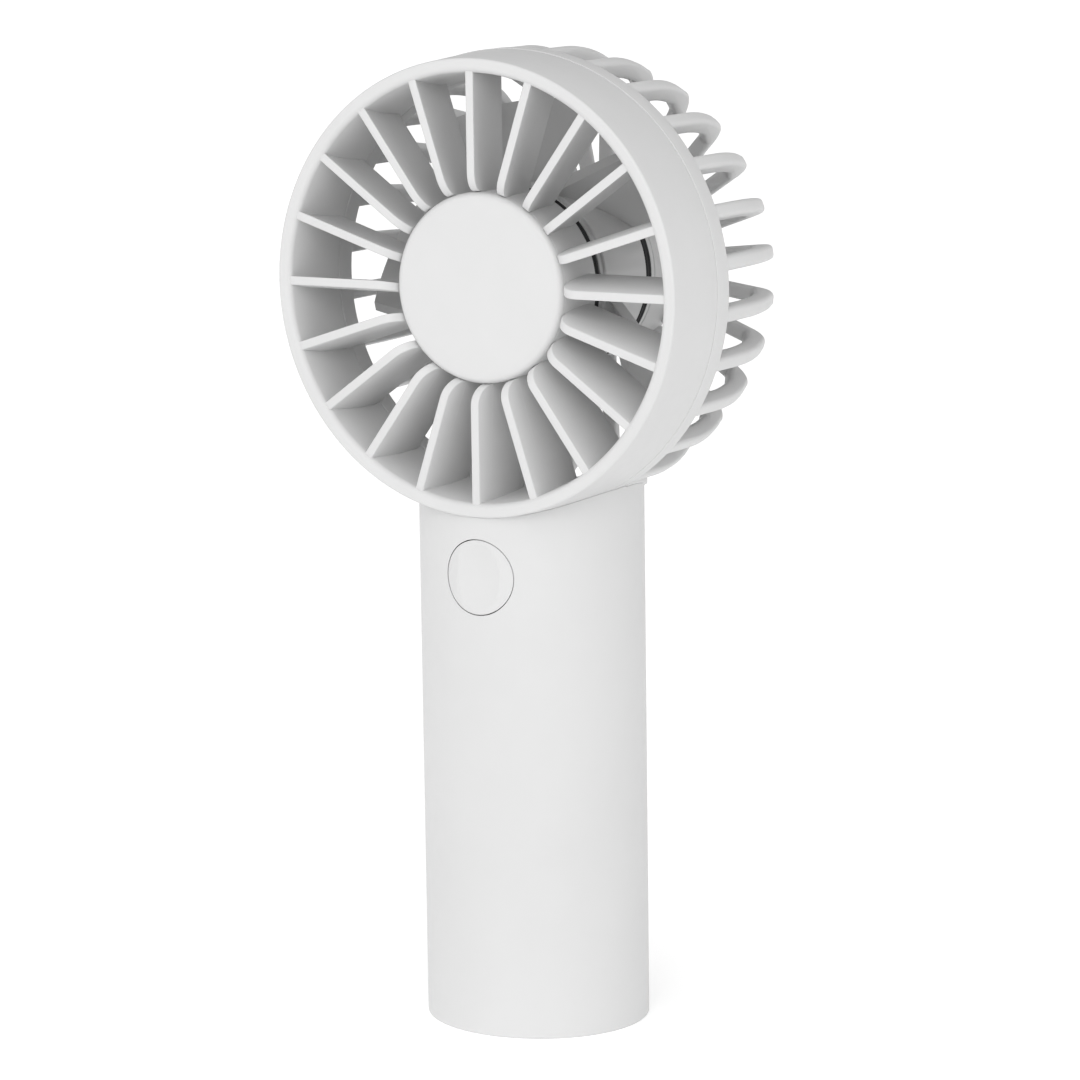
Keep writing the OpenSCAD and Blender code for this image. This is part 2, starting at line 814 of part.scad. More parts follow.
module cell_pad() {
    color([0.3, 0.3, 0.3]) translate([-10, -cell_r - 1.3, cell_z + 10]) cube([20, 1.2, cell_len - 20]);
}

module charge_board() {
    color(board_green) translate([-charge_w / 2, charge_y, charge_low_z])
        cube([charge_w, board_t, charge_h]);
}

module charge_chips() {
    color([0.12, 0.12, 0.13]) {
        translate([-8, port_y, port_z + 4.5]) cube([5, 1.2, 4]);
        translate([1.5, port_y, port_z + 4.5]) cube([5, 2.2, 5]);
        translate([-1, port_y, port_z + 11]) cube([3, 1, 2]);
    }
}

module charge_port() {
    color(steel) translate([0, port_y, port_z]) rotate([-90, 0, 0]) difference() {
        linear_extrude(height = port_end_y - port_y) stadium(port_w, port_h);
        translate([0, 0, 0.8]) linear_extrude(height = handle_b)
            stadium(port_w - 2 * port_shell_t, port_h - 2 * port_shell_t);
    }
}

module port_tongue() {
    tongue_w = 6.7;
    tongue_t = 0.7;
    color([0.1, 0.1, 0.1]) translate([-tongue_w / 2, port_y + 0.8, port_z - tongue_t / 2])
        cube([tongue_w, port_end_y - port_y - 2.2, tongue_t]);
}

front_grille();
hub_cap();
rear_cage();
impeller();
front_seal();
rear_seal();
motor_shaft();
rotor_can();
magnet_ring();
stator_core();
stator_windings();
motor_board();
motor_bushes();
bearing_tube();
shaft_clip();
motor_screws();
handle_shell();
base_cap();
base_screws();
neck_plate();
neck_screws();
power_button();
button_guide();
switch_body();
switch_plunger();
control_board();
control_chips();
board_screws();
inner_frame();
battery_cells();
battery_tabs();
battery_leads();
cell_pad();
charge_board();
charge_chips();
charge_port();
port_tongue();
motor_leads();
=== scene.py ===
"""Looks of the handheld fan: detailed mouldings, finishes, floor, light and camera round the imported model."""

import json
import math

import bpy
from bpy.props import FloatProperty, FloatVectorProperty, IntProperty, PointerProperty
from mathutils import Matrix, Vector


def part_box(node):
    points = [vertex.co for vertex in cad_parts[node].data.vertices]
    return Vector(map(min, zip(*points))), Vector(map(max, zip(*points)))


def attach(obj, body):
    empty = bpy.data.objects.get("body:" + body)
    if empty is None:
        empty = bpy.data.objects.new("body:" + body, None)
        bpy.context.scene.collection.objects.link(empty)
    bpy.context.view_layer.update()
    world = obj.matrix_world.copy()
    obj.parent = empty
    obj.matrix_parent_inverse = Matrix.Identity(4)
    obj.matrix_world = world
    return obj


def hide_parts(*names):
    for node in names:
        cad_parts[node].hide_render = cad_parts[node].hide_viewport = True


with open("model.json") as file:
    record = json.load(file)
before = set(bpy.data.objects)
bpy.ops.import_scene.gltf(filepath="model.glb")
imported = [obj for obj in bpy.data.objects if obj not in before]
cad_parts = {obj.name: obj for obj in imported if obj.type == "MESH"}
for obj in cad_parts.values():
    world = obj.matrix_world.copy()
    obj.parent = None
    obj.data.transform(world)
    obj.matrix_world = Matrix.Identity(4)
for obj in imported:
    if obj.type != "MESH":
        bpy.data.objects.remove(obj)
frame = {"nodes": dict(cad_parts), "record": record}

bl_info = {
    "name": "Handheld fan",
    "version": (1, 0, 0),
    "blender": (4, 5, 0),
    "location": "3D View > Sidebar > Fan",
    "description": "Builds the visible pieces of a small handheld fan round its packed model",
    "category": "Object",
}

MM = 0.001
TAU = 2 * math.pi
HALF_TURN = math.pi
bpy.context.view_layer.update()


def size_of(node):
    """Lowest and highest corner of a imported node, in millimetres."""
    low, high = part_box(node)
    return low / MM, high / MM


RING_LOW, RING_HIGH = size_of("front_grille")
CAGE_HIGH = size_of("rear_cage")[1]
CAP_LOW, CAP_HIGH = size_of("hub_cap")
ROTOR_LOW, ROTOR_HIGH = size_of("impeller")
HANDLE_HIGH = size_of("handle_shell")[1]
BASE_HIGH = size_of("base_cap")[1]
BUTTON_LOW, BUTTON_HIGH = size_of("power_button")
PORT_LOW, PORT_HIGH = size_of("charge_port")

RIM_Y = RING_LOW.y
AXIS_Z = (CAP_LOW.z + CAP_HIGH.z) / 2
RING_R = RING_HIGH.x
CAGE_R = CAGE_HIGH.x
HUB_R = CAP_HIGH.x
CAGE_END = CAGE_HIGH.y - RIM_Y
ROTOR_START = ROTOR_LOW.y - RIM_Y
ROTOR_END = ROTOR_HIGH.y - RIM_Y
HANDLE_A = HANDLE_HIGH.x
HANDLE_B = HANDLE_HIGH.y
BUTTON_Z = (BUTTON_LOW.z + BUTTON_HIGH.z) / 2

# Radii, walls and depths behind the rim plane that several pieces share, in millimetres
RIM_R = 44.0
RING_INNER = 41.35
CAP_BACK = 4.2
SEAM = 15.5
HUB_END = 16.0
HUB_WALL = 1.6
RING_END = 20.5
REAR_HUB_R = 18.2
REAR_HUB_FRONT = ROTOR_END + 2
SADDLE_R = CAGE_R + 0.2
SADDLE_T = 1.8
LEAD_DEPTH = 15.1
HANDLE_WALL = 1.8

# Segments round a ring and round a hub
RING_STEPS = 192
HUB_STEPS = 128

# Head space: +z runs back from the rim plane along the fan axis, +y points down
HEAD = Matrix.Translation(Vector((0, RIM_Y, AXIS_Z)) * MM) @ Matrix.Rotation(-HALF_TURN / 2, 4, "X")


# ---- Sizes and colours that a user may change ----


class FanSizes(bpy.types.PropertyGroup):
    vane_count: IntProperty(
        name="Vanes", description="Fixed vanes in the front ring", default=20, min=8, max=30
    )
    vane_thickness: FloatProperty(
        name="Vane thickness", description="Thickness of one vane", default=1.7 * MM, unit="LENGTH"
    )
    vane_sweep: FloatProperty(
        name="Vane sweep",
        description="Sideways sweep of a vane from back to front",
        default=1.7 * MM,
        unit="LENGTH",
    )
    vane_round: FloatProperty(
        name="Vane rounding", description="Rounding of a vane's edges", default=0.8 * MM, unit="LENGTH"
    )
    rib_count: IntProperty(name="Ribs", description="Ribs in the rear cage", default=28, min=12, max=40)
    rib_width: FloatProperty(name="Rib width", description="Width of one rib", default=3 * MM, unit="LENGTH")
    rib_round: FloatProperty(
        name="Rib rounding", description="Rounding of a rib's edges", default=0.95 * MM, unit="LENGTH"
    )
    blade_count: IntProperty(name="Blades", description="Blades on the impeller", default=5, min=3, max=9)
    blade_turn: FloatProperty(
        name="Blade turn",
        description="Turn of a blade from front to back",
        default=math.radians(37.5),
        subtype="ANGLE",
        unit="ROTATION",
    )
    button_radius: FloatProperty(
        name="Button radius", description="Radius of the power button", default=7.3 * MM, unit="LENGTH"
    )
    dish_depth: FloatProperty(
        name="Dish depth",
        description="Depth of the thumb dish in the button",
        default=0.9 * MM,
        unit="LENGTH",
    )


class FanFinish(bpy.types.PropertyGroup):
    shell: FloatVectorProperty(
        name="Shell",
        description="Colour of the mouldings",
        default=(0.6, 0.6, 0.6),
        subtype="COLOR",
        min=0,
        max=1,
    )
    impeller: FloatVectorProperty(
        name="Impeller",
        description="Colour of the impeller",
        default=(0.56, 0.56, 0.56),
        subtype="COLOR",
        min=0,
        max=1,
    )
    # Near-black seal colour: painted shade, darkening the deep slots round the hubs beyond their real shade
    shade_seal: FloatVectorProperty(
        name="Seals",
        description="Colour of the hub seals",
        default=(0.012, 0.012, 0.013),
        subtype="COLOR",
        min=0,
        max=1,
    )
    roughness: FloatProperty(
        name="Roughness",
        description="Roughness of the mouldings",
        default=0.46,
        min=0,
        max=1,
        subtype="FACTOR",
    )
    grain: FloatProperty(
        name="Grain", description="Strength of the moulded grain", default=0.1, min=0, max=1, subtype="FACTOR"
    )


# ---- Modelling helpers ----


def deselect():
    """Leaves edit mode with nothing selected."""
    if bpy.context.object is not None and bpy.context.object.mode != "OBJECT":
        bpy.ops.object.mode_set(mode="OBJECT")
    bpy.ops.object.select_all(action="DESELECT")


def use(*objs):
    """Selects these objects, the first one active."""
    deselect()
    for o in objs:
        o.select_set(True)
    bpy.context.view_layer.objects.active = objs[0]


def arc(centre, radius, start, end, steps):
    """Points on an arc in a plane, angles in degrees."""
    turn = [math.radians(start + (end - start) * i / steps) for i in range(steps + 1)]
    return [(centre[0] + radius * math.cos(a), centre[1] + radius * math.sin(a)) for a in turn]


def rounded(corners, steps=4):
    """A closed outline from corners (x, y, radius), each one rounded by its radius."""
    made = []
    for i, (x, y, radius) in enumerate(corners):
        here = Vector((x, y))
        before = Vector(corners[i - 1][:2]) - here
        after = Vector(corners[(i + 1) % len(corners)][:2]) - here
        if radius <= 0:
            made.append((x, y))
            continue
        before.normalize()
        after.normalize()
        half = before.angle(after) / 2
        middle = here + (before + after).normalized() * (radius / math.sin(half))
        reach = radius / math.tan(half)
        a = here + before * reach - middle
        b = here + after * reach - middle
        for k in range(steps + 1):
            mix = a.lerp(b, k / steps).normalized() * radius
            made.append((middle.x + mix.x, middle.y + mix.y))
    return made


def trace(name, points, plane="XZ"):
    """Draws a closed outline by extruding one vertex round it, and leaves it in edit mode."""
    place = {
        "XZ": lambda p: Vector((p[0], 0, p[1])) * MM,
        "XY": lambda p: Vector((p[0], p[1], 0)) * MM,
    }[plane]
    deselect()
    bpy.ops.mesh.primitive_plane_add(size=MM)
    piece = bpy.context.object
    piece.name = name
    bpy.ops.object.mode_set(mode="EDIT")
    bpy.ops.mesh.select_all(action="SELECT")
    bpy.ops.mesh.merge(type="CENTER")
    bpy.ops.transform.translate(value=place(points[0]))
    for here, there in zip(points, points[1:]):
        bpy.ops.mesh.extrude_vertices_move(TRANSFORM_OT_translate={"value": place(there) - place(here)})
    bpy.ops.mesh.select_all(action="SELECT")
    bpy.ops.mesh.edge_face_add()
    return piece


def outward():
    """In edit mode, merges doubles and turns every face outwards."""
    bpy.ops.mesh.select_all(action="SELECT")
    bpy.ops.mesh.remove_doubles(threshold=0.002 * MM)
    bpy.ops.mesh.normals_make_consistent(inside=False)
    bpy.ops.object.mode_set(mode="OBJECT")


def lathe(name, outline, steps=160):
    """A round piece about +z from an outline of (radius, depth)."""
    piece = trace(name, outline)
    bpy.ops.mesh.delete(type="ONLY_FACE")
    bpy.ops.mesh.select_all(action="SELECT")
    bpy.ops.mesh.spin(steps=steps, angle=TAU, center=(0, 0, 0), axis=(0, 0, 1))
    outward()
    return piece


def slab(name, outline, thickness, cuts=()):
    """A flat upright piece with this outline, centred on y = 0, with edge loops at the heights in cuts."""
    axis = Vector((0, 1, 0))
    piece = trace(name, outline)
    for height in cuts:
        bpy.ops.mesh.select_all(action="SELECT")
        bpy.ops.mesh.bisect(plane_co=(0, 0, height * MM), plane_no=(0, 0, 1))
    bpy.ops.mesh.select_all(action="SELECT")
    bpy.ops.transform.translate(value=-axis * thickness / 2)
    bpy.ops.mesh.extrude_region_move(TRANSFORM_OT_translate={"value": axis * thickness})
    outward()
    return piece


def oval_bar(name, low, high, grow=0.0, steps=160):
    """An upright bar with the handle's oval section."""
    deselect()
    bpy.ops.mesh.primitive_circle_add(
        vertices=steps, radius=MM, fill_type="NGON", location=(0, 0, low * MM)
    )
    piece = bpy.context.object
    piece.name = name
    bpy.ops.object.mode_set(mode="EDIT")
    bpy.ops.mesh.select_all(action="SELECT")
    bpy.ops.transform.resize(value=(HANDLE_A + grow, HANDLE_B + grow, 1))
    bpy.ops.mesh.extrude_region_move(TRANSFORM_OT_translate={"value": (0, 0, (high - low) * MM)})
    outward()
    bake_place(piece)
    return piece


def tube(name, radius, low, high, steps):
    """A plain round cutter along +z."""
    deselect()
    bpy.ops.mesh.primitive_cylinder_add(
        vertices=steps, radius=radius * MM, depth=(high - low) * MM, location=(0, 0, (low + high) / 2 * MM)
    )
    piece = bpy.context.object
    piece.name = name
    bake_place(piece)
    return piece


def bake_place(piece, matrix=None):
    """Moves the object's place into its mesh."""
    use(piece)
    if matrix is not None:
        piece.matrix_world = matrix @ piece.matrix_world
    bpy.ops.object.transform_apply(location=True, rotation=True, scale=True)
    return piece


def put_on_head(piece):
    """Moves a piece drawn in head space to its place on the head."""
    return bake_place(piece, HEAD)


def apply_modifier(piece, kind, **settings):
    """Adds a modifier with these settings and applies it."""
    use(piece)
    bpy.ops.object.modifier_add(type=kind)
    modifier = piece.modifiers[-1]
    for key, value in settings.items():
        setattr(modifier, key, value)
    bpy.ops.object.modifier_apply(modifier=modifier.name)


def soften(piece, width, segments=3, angle=40):
    """Rounds a piece's sharp edges."""
    apply_modifier(
        piece,
        "BEVEL",
        width=width,
        segments=segments,
        limit_method="ANGLE",
        angle_limit=math.radians(angle),
        use_clamp_overlap=True,
    )


def cut(piece, cutter, operation="DIFFERENCE"):
    """Combines a piece with a cutter, which is then removed."""
    apply_modifier(piece, "BOOLEAN", operation=operation, object=cutter, solver="EXACT")
    bpy.data.objects.remove(cutter)


def repeat(piece, count, first=0.0):
    """Turns copies of a piece evenly round +z and joins them."""
    copies = []
    for i in range(count):
        use(piece)
        bpy.ops.object.duplicate()
        copy = bpy.context.object
        bake_place(copy, Matrix.Rotation(first + TAU * i / count, 4, "Z"))
        copies.append(copy)
    bpy.data.objects.remove(piece)
    return join(*copies)


def join(*pieces):
    """Joins pieces into the first one."""
    use(*pieces)
    bpy.ops.object.join()
    return bpy.context.object


def finish_piece(piece, name, body, slot, *nodes, smooth=35):
    """Smooths a finished piece, gives it its finish, hangs it on its body and hides the imported nodes it
    replaces.
    """
    use(piece)
    bpy.ops.object.shade_smooth_by_angle(angle=math.radians(smooth))
    piece.name = name
    piece.data.name = name
    piece.data.materials.clear()
    piece.data.materials.append(finish(slot))
    deselect()
    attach(piece, body)
    if nodes:
        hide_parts(*nodes)


# ---- Finishes ----


class Nodes:
    """A short way to write a material's nodes."""

    def __init__(self, name):
        self.material = bpy.data.materials.new(name)
        self.material.use_nodes = True
        self.tree = self.material.node_tree
        self.shader = self.tree.nodes["Principled BSDF"]
        self.place = self.add("ShaderNodeTexCoord").outputs["Object"]

    def add(self, kind, **values):
        node = self.tree.nodes.new(kind)
        for key, value in values.items():
            if key in node.inputs:
                node.inputs[key].default_value = value
            else:
                setattr(node, key, value)
        return node

    def link(self, source, target):
        self.tree.links.new(source, target)

    def stretch(self, scale):
        node = self.add("ShaderNodeMapping")
        node.inputs["Scale"].default_value = scale
        self.link(self.place, node.inputs["Vector"])
        return node.outputs["Vector"]

    def noise(self, scale, detail=3.0, roughness=0.5, place=None):
        node = self.add("ShaderNodeTexNoise", Scale=scale, Detail=detail, Roughness=roughness)
        self.link(place or self.place, node.inputs["Vector"])
        return node.outputs["Fac"]

    def cells(self, scale, feature="F1"):
        node = self.add("ShaderNodeTexVoronoi", feature=feature, Scale=scale)
        self.link(self.place, node.inputs["Vector"])
        return node.outputs["Distance"]

    def bands(self, scale, distortion, direction):
        node = self.add("ShaderNodeTexWave", bands_direction=direction, Scale=scale, Distortion=distortion)
        self.link(self.place, node.inputs["Vector"])
        return node.outputs["Fac"]

    def spread(self, source, low, high, start=0.3, end=0.7):
        node = self.add("ShaderNodeMapRange")
        node.inputs["From Min"].default_value = start
        node.inputs["From Max"].default_value = end
        node.inputs["To Min"].default_value = low
        node.inputs["To Max"].default_value = high
        self.link(source, node.inputs["Value"])
        return node.outputs["Result"]

    def blend(self, factor, one, two):
        node = self.add("ShaderNodeMix", data_type="RGBA")
        node.inputs["A"].default_value = (*one, 1)
        node.inputs["B"].default_value = (*two, 1)
        self.link(factor, node.inputs["Factor"])
        return [s for s in node.outputs if s.type == "RGBA"][0]

    def bump(self, height, strength, distance, before=None):
        node = self.add("ShaderNodeBump", Strength=strength, Distance=distance)
        self.link(height, node.inputs["Height"])
        if before is not None:
            self.link(before, node.inputs["Normal"])
        return node.outputs["Normal"]

    def colour(self, source):
        self.link(source, self.shader.inputs["Base Color"])

    def rough(self, source):
        self.link(source, self.shader.inputs["Roughness"])

    def normal(self, source):
        self.link(source, self.shader.inputs["Normal"])


def shade(colour, factor):
    """A colour made lighter or darker."""
    return tuple(min(1.0, c * factor) for c in colour)


def moulded(name, colour, rough=0.46, grain=0.1, grain_size=0.28, variation=0.025):
    """Moulded plastic: a fine spark-eroded grain, faint flow marks and an uneven gloss."""
    n = Nodes(name)
    flow = n.noise(38, 4, 0.55)
    dark, light = shade(colour, 1 - variation), shade(colour, 1 + variation * 0.4)
    n.colour(n.blend(n.spread(flow, 0, 1), dark, light))
    n.rough(n.spread(n.noise(420, 3, 0.6), rough - 0.05, rough + 0.06))
    pits = n.bump(n.noise(1 / (grain_size * MM), 2, 0.6), grain, 0.02 * MM)
    n.normal(n.bump(flow, 0.06, 0.05 * MM, pits))
    n.shader.inputs["IOR"].default_value = 1.5
    return n.material


def rubber(name, colour, rough=0.7):
    """Soft black or coloured insulation with a dusty sheen."""
    n = Nodes(name)
    dust = n.noise(900, 5, 0.65)
    n.colour(n.blend(n.spread(dust, 0, 1, 0.45, 0.8), colour, tuple(c * 1.5 + 0.004 for c in colour)))
    n.rough(n.spread(dust, rough - 0.1, rough + 0.1))
    n.normal(n.bump(n.noise(5200, 2), 0.2, 0.02 * MM))
    return n.material


def foam(name, colour):
    """Closed-cell foam: small open pores."""
    n = Nodes(name)
    pores = n.cells(2600)
    # Each pore is painted darker towards its centre: painted shade in the pits
    n.colour(n.blend(n.spread(pores, 0, 1, 0.1, 0.5), shade(colour, 0.5), shade(colour, 1.3)))
    n.rough(n.spread(pores, 0.98, 0.85))
    n.normal(n.bump(pores, 0.8, 0.12 * MM))
    return n.material


def metal(name, colour, rough=0.3, brushed=(40, 40, 4200), streak=0.35, spots=0.0):
    """Turned, rolled or plated metal with fine lines and a mottled gloss."""
    n = Nodes(name)
    lines = n.noise(1, 4, 0.7, n.stretch(brushed))
    mottle = n.noise(260, 4, 0.6)
    n.colour(n.blend(n.spread(mottle, 0, 1), shade(colour, 0.86 - spots), shade(colour, 1.05)))
    n.rough(n.spread(lines, rough - 0.08, rough + 0.12))
    n.normal(n.bump(lines, streak, 0.01 * MM, n.bump(mottle, spots + 0.05, 0.03 * MM)))
    n.shader.inputs["Metallic"].default_value = 1
    return n.material


def sintered(name, colour, rough=0.62, metallic=0.0):
    """Pressed powder: pores and a gritty surface."""
    n = Nodes(name)
    grit = n.cells(3800)
    # Each pore is painted darker towards its centre: painted shade in the pits
    n.colour(n.blend(n.spread(grit, 0, 1, 0.05, 0.5), shade(colour, 0.55), shade(colour, 1.2)))
    n.rough(n.spread(n.noise(1500, 3), rough - 0.1, rough + 0.15))
    n.normal(n.bump(grit, 0.5, 0.04 * MM))
    n.shader.inputs["Metallic"].default_value = metallic
    return n.material


def windings(name, colour):
    """Enamelled wire laid turn by turn."""
    n = Nodes(name)
    turns = n.bands(1 / (0.9 * MM), 0.4, "Y")
    # The colour runs darker in the valley between turns and lighter on each crest: painted shade and painted
    # highlight
    n.colour(n.blend(n.spread(turns, 0, 1, 0.1, 0.9), shade(colour, 0.35), shade(colour, 1.15)))
    n.rough(n.spread(turns, 0.42, 0.22, 0, 1))
    n.normal(n.bump(turns, 0.9, 0.12 * MM))
    n.shader.inputs["Metallic"].default_value = 0.85
    n.shader.inputs["Coat Weight"].default_value = 0.5
    n.shader.inputs["Coat Roughness"].default_value = 0.1
    return n.material


def circuit_board(name, colour):
    """Lacquered board: glass weave, buried tracks and solder pads."""
    n = Nodes(name)
    weave = n.bands(1 / (0.7 * MM), 0.3, "X")
    tracks = n.cells(520, "DISTANCE_TO_EDGE")
    track = n.spread(tracks, 1, 0, 0.04, 0.07)
    n.colour(n.blend(track, shade(colour, 0.8), shade(colour, 1.9)))
    n.rough(n.spread(n.noise(700, 3), 0.22, 0.36))
    n.normal(n.bump(track, 0.5, 0.03 * MM, n.bump(weave, 0.12, 0.02 * MM)))
    n.shader.inputs["Coat Weight"].default_value = 0.4
    n.shader.inputs["Coat Roughness"].default_value = 0.15
    return n.material


def shrink_wrap(name, colour):
    """Thin glossy sleeve shrunk over a cell, with faint wrinkles and a lap seam."""
    n = Nodes(name)
    wrinkle = n.noise(1, 4, 0.6, n.stretch((260, 260, 900)))
    n.colour(n.blend(n.spread(n.noise(60, 3), 0, 1), shade(colour, 0.85), shade(colour, 1.12)))
    n.rough(n.spread(wrinkle, 0.18, 0.34))
    n.normal(n.bump(wrinkle, 0.25, 0.08 * MM))
    n.shader.inputs["Coat Weight"].default_value = 0.6
    n.shader.inputs["Coat Roughness"].default_value = 0.08
    return n.material


FINISHES = {}


def finish(slot):
    """The finish of one of the record's material slots, made once."""
    if slot not in FINISHES:
        raise RuntimeError(f"there is no finish for {slot}")
    return bpy.data.materials[FINISHES[slot]]


class FAN_OT_finishes(bpy.types.Operator):
    """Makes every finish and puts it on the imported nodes"""

    bl_idname = "fan.finishes"
    bl_label = "Finishes"

    def execute(self, context):
        look = context.scene.fan_finish
        shell, rough, grain = tuple(look.shell), look.roughness, look.grain
        shade_seal = tuple(look.shade_seal)
        made = {
            "shell_white": moulded("shell_white", shell, rough, grain),
            "cap_white": moulded("cap_white", shade(shell, 1.01), rough - 0.04, grain * 0.7),
            "cage_white": moulded("cage_white", shade(shell, 0.99), rough, grain),
            "impeller_white": moulded("impeller_white", tuple(look.impeller), rough - 0.08, grain * 0.5),
            "handle_white": moulded("handle_white", shell, rough, grain),
            "base_white": moulded("base_white", shade(shell, 0.98), rough + 0.04, grain * 1.4),
            "button_white": moulded("button_white", shade(shell, 1.005), rough - 0.02, grain),
            "guide_white": moulded("guide_white", (0.6, 0.6, 0.57), 0.5, 0.08),
            "frame_grey": moulded("frame_grey", (0.05, 0.05, 0.055), 0.55, 0.15),
            "switch_black": moulded("switch_black", (0.01, 0.01, 0.011), 0.5, 0.1, 0.12),
            "plunger_grey": moulded("plunger_grey", (0.36, 0.36, 0.33), 0.4, 0.05, 0.1),
            "chip_black": moulded("chip_black", (0.012, 0.012, 0.013), 0.6, 0.25, 0.08),
            # The seals' near-black rubber paints the deep shade of the slots round the hubs
            "seal_black": rubber("seal_black", shade_seal, 0.75),
            "lead_red": rubber("lead_red", (0.35, 0.02, 0.015), 0.45),
            "lead_black": rubber("lead_black", (0.012, 0.012, 0.012), 0.45),
            "foam_grey": foam("foam_grey", (0.05, 0.05, 0.053)),
            "board_green": circuit_board("board_green", (0.01, 0.1, 0.035)),
            "cell_wrap": shrink_wrap("cell_wrap", (0.02, 0.1, 0.22)),
            "steel": metal("steel", (0.56, 0.56, 0.57), 0.28),
            "zinc_plate": metal("zinc_plate", (0.5, 0.5, 0.52), 0.36, (900, 900, 900), 0.2, 0.08),
            "nickel": metal("nickel", (0.62, 0.59, 0.53), 0.24, (60, 3200, 60), 0.2),
            "brass": metal("brass", (0.72, 0.5, 0.2), 0.26, (40, 4000, 40)),
            "ferrite": sintered("ferrite", (0.03, 0.03, 0.032)),
            "bronze": sintered("bronze", (0.4, 0.25, 0.12), 0.45, 1.0),
            "copper_wire": windings("copper_wire", (0.5, 0.17, 0.06)),
        }
        FINISHES.update({slot: material.name for slot, material in made.items()})
        for part in frame["record"]["subparts"]:
            node = frame["nodes"][part["node"]]
            node.data.materials.clear()
            node.data.materials.append(finish(part["material_slot"]))
        return {"FINISHED"}


# ---- Head ----


class FAN_OT_front_grille(bpy.types.Operator):
    """Builds the front ring, its swept vanes and the fixed hub"""

    bl_idname = "fan.front_grille"
    bl_label = "Front grille"

    def execute(self, context):
        sizes = context.scene.fan_sizes
        inner_back = 39.85
        ring = lathe(
            "front_ring",
            rounded(
                [
                    (RING_INNER, 0, 1.3),
                    (RIM_R, 0, 0.55),
                    (RING_R, SEAM, 0.14),
                    (inner_back, SEAM, 0.12),
                ],
                5,
            ),
            RING_STEPS,
        )
        floor, floor_t, bore = 6.2, 1.4, 3.2
        hub_in = HUB_R - HUB_WALL
        barrel = lathe(
            "fixed_hub",
            rounded(
                [
                    (HUB_R, CAP_BACK, 0.12),
                    (HUB_R, HUB_END, 0.2),
                    (hub_in, HUB_END, 0.12),
                    (hub_in, floor + floor_t, 0.4),
                    (bore, floor + floor_t, 0),
                    (bore, floor, 0),
                    (hub_in, floor, 0.3),
                    (hub_in, CAP_BACK, 0.1),
                ],
                3,
            ),
            HUB_STEPS,
        )

        # A vane runs from inside the hub's wall to inside the ring's, and its front corner is rounded
        front, end, corner, levels = 0.5, 14.1, 4.0, 9
        root, first, tip = HUB_R - 0.9, HUB_R + 0.05, RING_INNER + 0.6
        corner_end = front + corner + 0.2
        vane = slab(
            "vane",
            rounded(
                [
                    (root, end, 0),
                    (tip, end, 0),
                    (tip, front, 0),
                    (first, front, corner),
                    (first, corner_end, 0),
                    (root, corner_end, 0),
                ],
                8,
            ),
            sizes.vane_thickness,
            cuts=[front + (end - front) * k / levels for k in range(1, levels)],
        )
        soften(vane, sizes.vane_round, 4, 60)
        sweep_r = (end - front) ** 2 / (2 * sizes.vane_sweep / MM)
        for v in vane.data.vertices:
            behind = end - v.co.z / MM
            v.co.y += (behind**2 / (2 * sweep_r)) * MM - sizes.vane_sweep
        vanes = repeat(vane, sizes.vane_count)
        piece = put_on_head(join(ring, barrel, vanes))
        finish_piece(piece, "front_grille_moulding", "housing", "shell_white", "front_grille")
        return {"FINISHED"}


class FAN_OT_hub_cap(bpy.types.Operator):
    """Builds the round cap on the front hub"""

    bl_idname = "fan.hub_cap"
    bl_label = "Hub cap"

    def execute(self, context):
        face, bevel, spigot, edge = 2.6, 1.4, 1.5, 0.12
        spigot_in, spigot_out = HUB_R - 3.1, HUB_R - 1.66
        outline = [(0, CAP_BACK), (spigot_in, CAP_BACK), (spigot_in, CAP_BACK + spigot)]
        outline += [(spigot_out, CAP_BACK + spigot), (spigot_out, CAP_BACK)]
        outline += [(HUB_R - edge, CAP_BACK), (HUB_R, CAP_BACK - edge)]
        outline += arc((HUB_R - bevel, face + bevel), bevel, 0, -74, 9)[1:]
        outline += [(HUB_R - bevel - 0.2, face), (HUB_R * 0.6, face), (0, face)]
        piece = put_on_head(lathe("hub_cap_face", outline, 160))
        finish_piece(piece, "hub_cap_moulding", "housing", "cap_white", "hub_cap")
        return {"FINISHED"}


def rib_outline():
    """Side view of one rib of the cage, as (radius, depth)."""
    start, side_t, back_t = 18.5, 3.8, 2.6
    bend_at, bend_r, bend, corner_r, slope = 29.5, 40.0, 22.0, 6.0, 8.0
    hub = REAR_HUB_R - 1.0
    centre = CAGE_R - bend_r
    out_r = centre + bend_r * math.cos(math.radians(bend))
    out_z = bend_at + bend_r * math.sin(math.radians(bend))
    corner = (
        out_r - corner_r * math.cos(math.radians(bend)),
        out_z - corner_r * math.sin(math.radians(bend)),
    )
    stop = 90 - slope
    last = arc(corner, corner_r, bend, stop, 12)[-1]
    rise = math.tan(math.radians(slope))
    end_z = last[1] + (last[0] - hub) * rise
    inner_r = 1.5
    reach = corner_r - back_t - inner_r
    inner = (
        corner[0] + reach * math.cos(math.radians(stop)) - (side_t - back_t) * 0.9,
        corner[1] + reach * math.sin(math.radians(stop)),
    )
    return (
        [(CAGE_R - 0.1, start)]
        + arc((centre - 0.1, bend_at), bend_r, 0, bend, 8)
        + arc(corner, corner_r, bend, stop, 12)[1:]
        + [(hub, end_z), (hub, end_z - back_t)]
        + arc(inner, inner_r, stop, bend, 6)
        + arc((centre, bend_at), bend_r - side_t, bend * 0.8, 0, 6)
        + [(CAGE_R - side_t, start)]
    )


